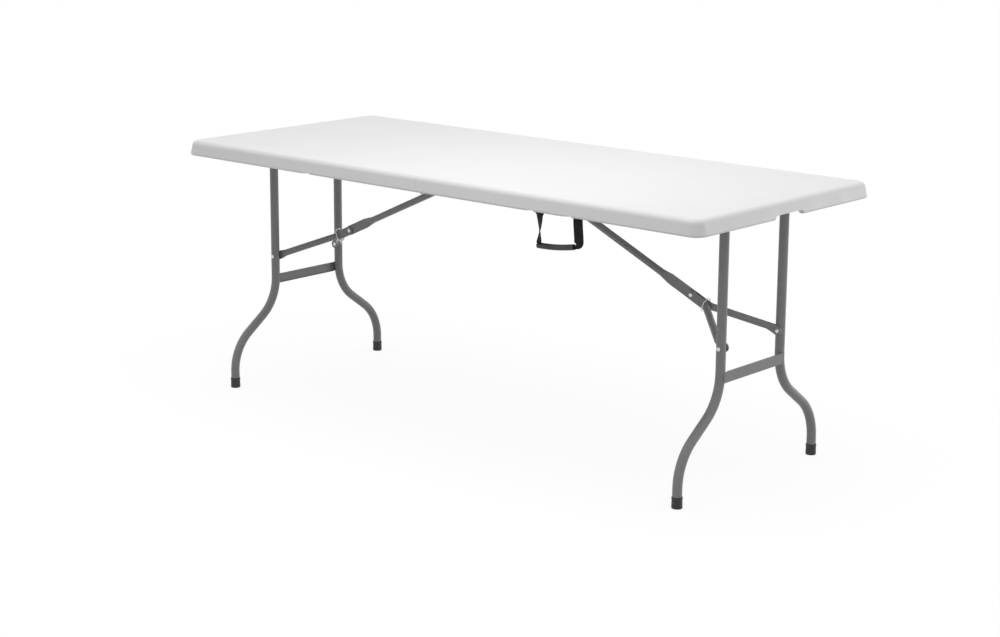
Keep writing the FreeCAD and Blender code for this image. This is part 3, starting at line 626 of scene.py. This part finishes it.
class TABLE_OT_handle_sleeve(Operator):
    """Model the soft sleeve that the webbing runs through"""
    bl_idname = "buffet_table.handle_sleeve"
    bl_label = "Handle Sleeve"

    def execute(self, context):
        settings = context.scene.table_handle
        low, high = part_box("handle_grip")
        left, right = strap_end("handle_strap_left"), strap_end("handle_strap_right")
        chord = right - left
        middle = (left + right) / 2
        bow = (chord.length / 2) ** 2 / (2 * settings.sleeve_sag)
        bottom = middle - UP * settings.sleeve_sag
        centre = bottom + UP * bow
        to_left = settings.sleeve_left / bow
        sweep = to_left + settings.sleeve_right / bow
        deselect_all()
        bpy.ops.mesh.primitive_circle_add(
            vertices=settings.sleeve_sides, radius=(high.y - low.y) / 2,
            location=bottom, rotation=(0, math.pi / 2, 0))
        sleeve = new_piece("handle_sleeve")
        bpy.ops.object.mode_set(mode="EDIT")
        bpy.ops.mesh.select_all(action="SELECT")
        bpy.ops.transform.rotate(value=-to_left, orient_axis="Y", center_override=centre)
        bpy.ops.mesh.spin(steps=SLEEVE_STEPS, angle=sweep, center=centre, axis=(0, 1, 0))
        bpy.ops.mesh.select_all(action="SELECT")
        bpy.ops.transform.rotate(value=math.atan2(chord.z, chord.x), orient_axis="Y",
                                 center_override=middle)
        bpy.ops.mesh.remove_doubles(threshold=MERGE_DISTANCE)
        bpy.ops.mesh.normals_make_consistent(inside=False)
        bpy.ops.object.mode_set(mode="OBJECT")
        apply_modifier(sleeve, "SOLIDIFY", thickness=settings.sleeve_wall, offset=-1.0)
        apply_modifier(sleeve, "BEVEL", width=settings.sleeve_wall * MOUTH_ROUNDING, segments=2,
                       limit_method="ANGLE")
        smooth(sleeve, SLEEVE_SMOOTH)
        sleeve.data.materials.append(soft_sleeve(context.scene.table_finish))
        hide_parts("handle_grip")
        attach(sleeve, "handle")
        return {"FINISHED"}


def set_camera(settings):
    """Camera at the photograph's viewing angle."""
    flat = Vector((math.cos(settings.heading), math.sin(settings.heading), 0))
    view = flat * math.cos(settings.tilt) - UP * math.sin(settings.tilt)
    right = view.cross(UP).normalized()
    above = right.cross(view)
    turn = Matrix.Rotation(settings.roll, 3, "Z")
    axes = Matrix((right, above, -view)).transposed() @ turn
    bpy.ops.object.camera_add(location=settings.camera_place)
    camera = bpy.context.object
    camera.name = "camera"
    camera.matrix_world = Matrix.Translation(settings.camera_place) @ axes.to_4x4()
    camera.data.sensor_width = SENSOR_WIDTH
    camera.data.lens = settings.focal_pixels / IMAGE_WIDTH * SENSOR_WIDTH
    camera.data.shift_x, camera.data.shift_y = settings.shift
    camera.data.clip_end = CAMERA_REACH
    bpy.context.scene.camera = camera


def seen_directly(tree):
    """1 for rays that show the background itself: camera, glossy and transmission rays."""
    path = add_node(tree, "ShaderNodeLightPath")
    seen = path.outputs["Is Camera Ray"]
    for name in ("Is Glossy Ray", "Is Transmission Ray"):
        seen = join_values(tree, "MAXIMUM", seen, path.outputs[name])
    return seen


def set_world(settings):
    """Soft sky light, brightest from above, and a white background."""
    world = bpy.data.worlds.new("studio")
    bpy.context.scene.world = world
    world.use_nodes = True
    tree = world.node_tree
    background = tree.nodes["Background"]
    background.inputs["Color"].default_value = (*WHITE, 1)
    direction = add_node(tree, "ShaderNodeTexCoord")
    split = add_node(tree, "ShaderNodeSeparateXYZ")
    tree.links.new(direction.outputs["Generated"], split.inputs["Vector"])
    sky = remap(tree, split.outputs["Z"], FACTOR, (settings.horizon, settings.zenith))
    shown = remap(tree, seen_directly(tree), FACTOR)
    tree.links.new(sky, shown.node.inputs["To Min"])
    tree.links.new(shown, background.inputs["Strength"])


def set_floor(settings):
    """Pale floor that fades to the background and keeps the table's shadow."""
    bpy.ops.mesh.primitive_plane_add(size=settings.floor_size, location=(0, 0, 0))
    floor = new_piece("floor")
    material, tree, shader = start_material("floor", {"Roughness": 1.0, "Specular IOR Level": 0.0})
    colour = blend_colours(tree, seen_directly(tree), settings.floor_colour, WHITE)
    tree.links.new(colour, shader.inputs["Base Color"])
    sky = settings.horizon + (settings.zenith - settings.horizon) * SKY_MEAN
    open_floor = (1 - settings.floor_whiteness) * sky
    glow = add_node(tree, "ShaderNodeEmission", {
        "Color": (*WHITE, 1), "Strength": (1 - open_floor) / settings.floor_whiteness})
    mix = add_node(tree, "ShaderNodeMixShader")
    whiteness = remap(tree, seen_directly(tree), FACTOR, (0, settings.floor_whiteness))
    tree.links.new(whiteness, mix.inputs["Fac"])
    tree.links.new(shader.outputs["BSDF"], mix.inputs[1])
    tree.links.new(glow.outputs["Emission"], mix.inputs[2])
    tree.links.new(mix.outputs["Shader"], tree.nodes["Material Output"].inputs["Surface"])
    floor.data.materials.append(material)


def add_light(name, place, aim, size, power):
    """Soft rectangular light that faces the aim and is not seen itself."""
    bpy.ops.object.light_add(type="AREA", location=place)
    light = bpy.context.object
    light.name = name
    light.rotation_euler = (Vector(place) - Vector(aim)).to_track_quat("Z", "Y").to_euler()
    light.data.shape = "RECTANGLE"
    light.data.size, light.data.size_y = size
    light.data.energy = power
    light.visible_camera = False


class TABLE_OT_stage(Operator):
    """Set the camera, the light and the floor"""
    bl_idname = "buffet_table.stage"
    bl_label = "Stage"

    def execute(self, context):
        settings = context.scene.table_stage
        deselect_all()
        context.scene.view_settings.view_transform = "Standard"
        set_camera(settings)
        set_world(settings)
        set_floor(settings)
        add_light("top_light", settings.top_place, settings.light_aim, settings.top_size,
                  settings.top_power)
        add_light("side_light", settings.side_place, settings.light_aim, settings.side_size,
                  settings.side_power)
        return {"FINISHED"}


class TABLE_PT_sidebar(Panel):
    """Pieces and settings of the buffet table"""
    bl_idname = "TABLE_PT_sidebar"
    bl_label = "Buffet Table"
    bl_space_type = "VIEW_3D"
    bl_region_type = "UI"
    bl_category = "Table"

    def draw(self, context):
        scene = context.scene
        for operator in OPERATORS:
            self.layout.operator(operator.bl_idname)
        for group in (scene.table_finish, scene.table_handle, scene.table_stage):
            box = self.layout.box()
            for name in group.__annotations__:
                box.prop(group, name)


OPERATORS = (
    TABLE_OT_moulded_halves, TABLE_OT_coated_steel, TABLE_OT_plated_steel, TABLE_OT_foot_caps,
    TABLE_OT_handle_webbing, TABLE_OT_handle_sleeve, TABLE_OT_stage)
CLASSES = (FinishSettings, HandleSettings, StageSettings, *OPERATORS, TABLE_PT_sidebar)


def register():
    """Register the classes and the scene's settings."""
    for item in CLASSES:
        bpy.utils.register_class(item)
    bpy.types.Scene.table_finish = PointerProperty(type=FinishSettings)
    bpy.types.Scene.table_handle = PointerProperty(type=HandleSettings)
    bpy.types.Scene.table_stage = PointerProperty(type=StageSettings)


def unregister():
    """Take the settings and the classes away again."""
    for name in ("table_stage", "table_handle", "table_finish"):
        delattr(bpy.types.Scene, name)
    for item in reversed(CLASSES):
        bpy.utils.unregister_class(item)


def main():
    """Dress the table and set the stage."""
    register()
    bpy.ops.buffet_table.moulded_halves()
    bpy.ops.buffet_table.coated_steel()
    bpy.ops.buffet_table.plated_steel()
    bpy.ops.buffet_table.foot_caps()
    bpy.ops.buffet_table.handle_webbing()
    bpy.ops.buffet_table.handle_sleeve()
    bpy.ops.buffet_table.stage()


if __name__ == "__main__":
    main()
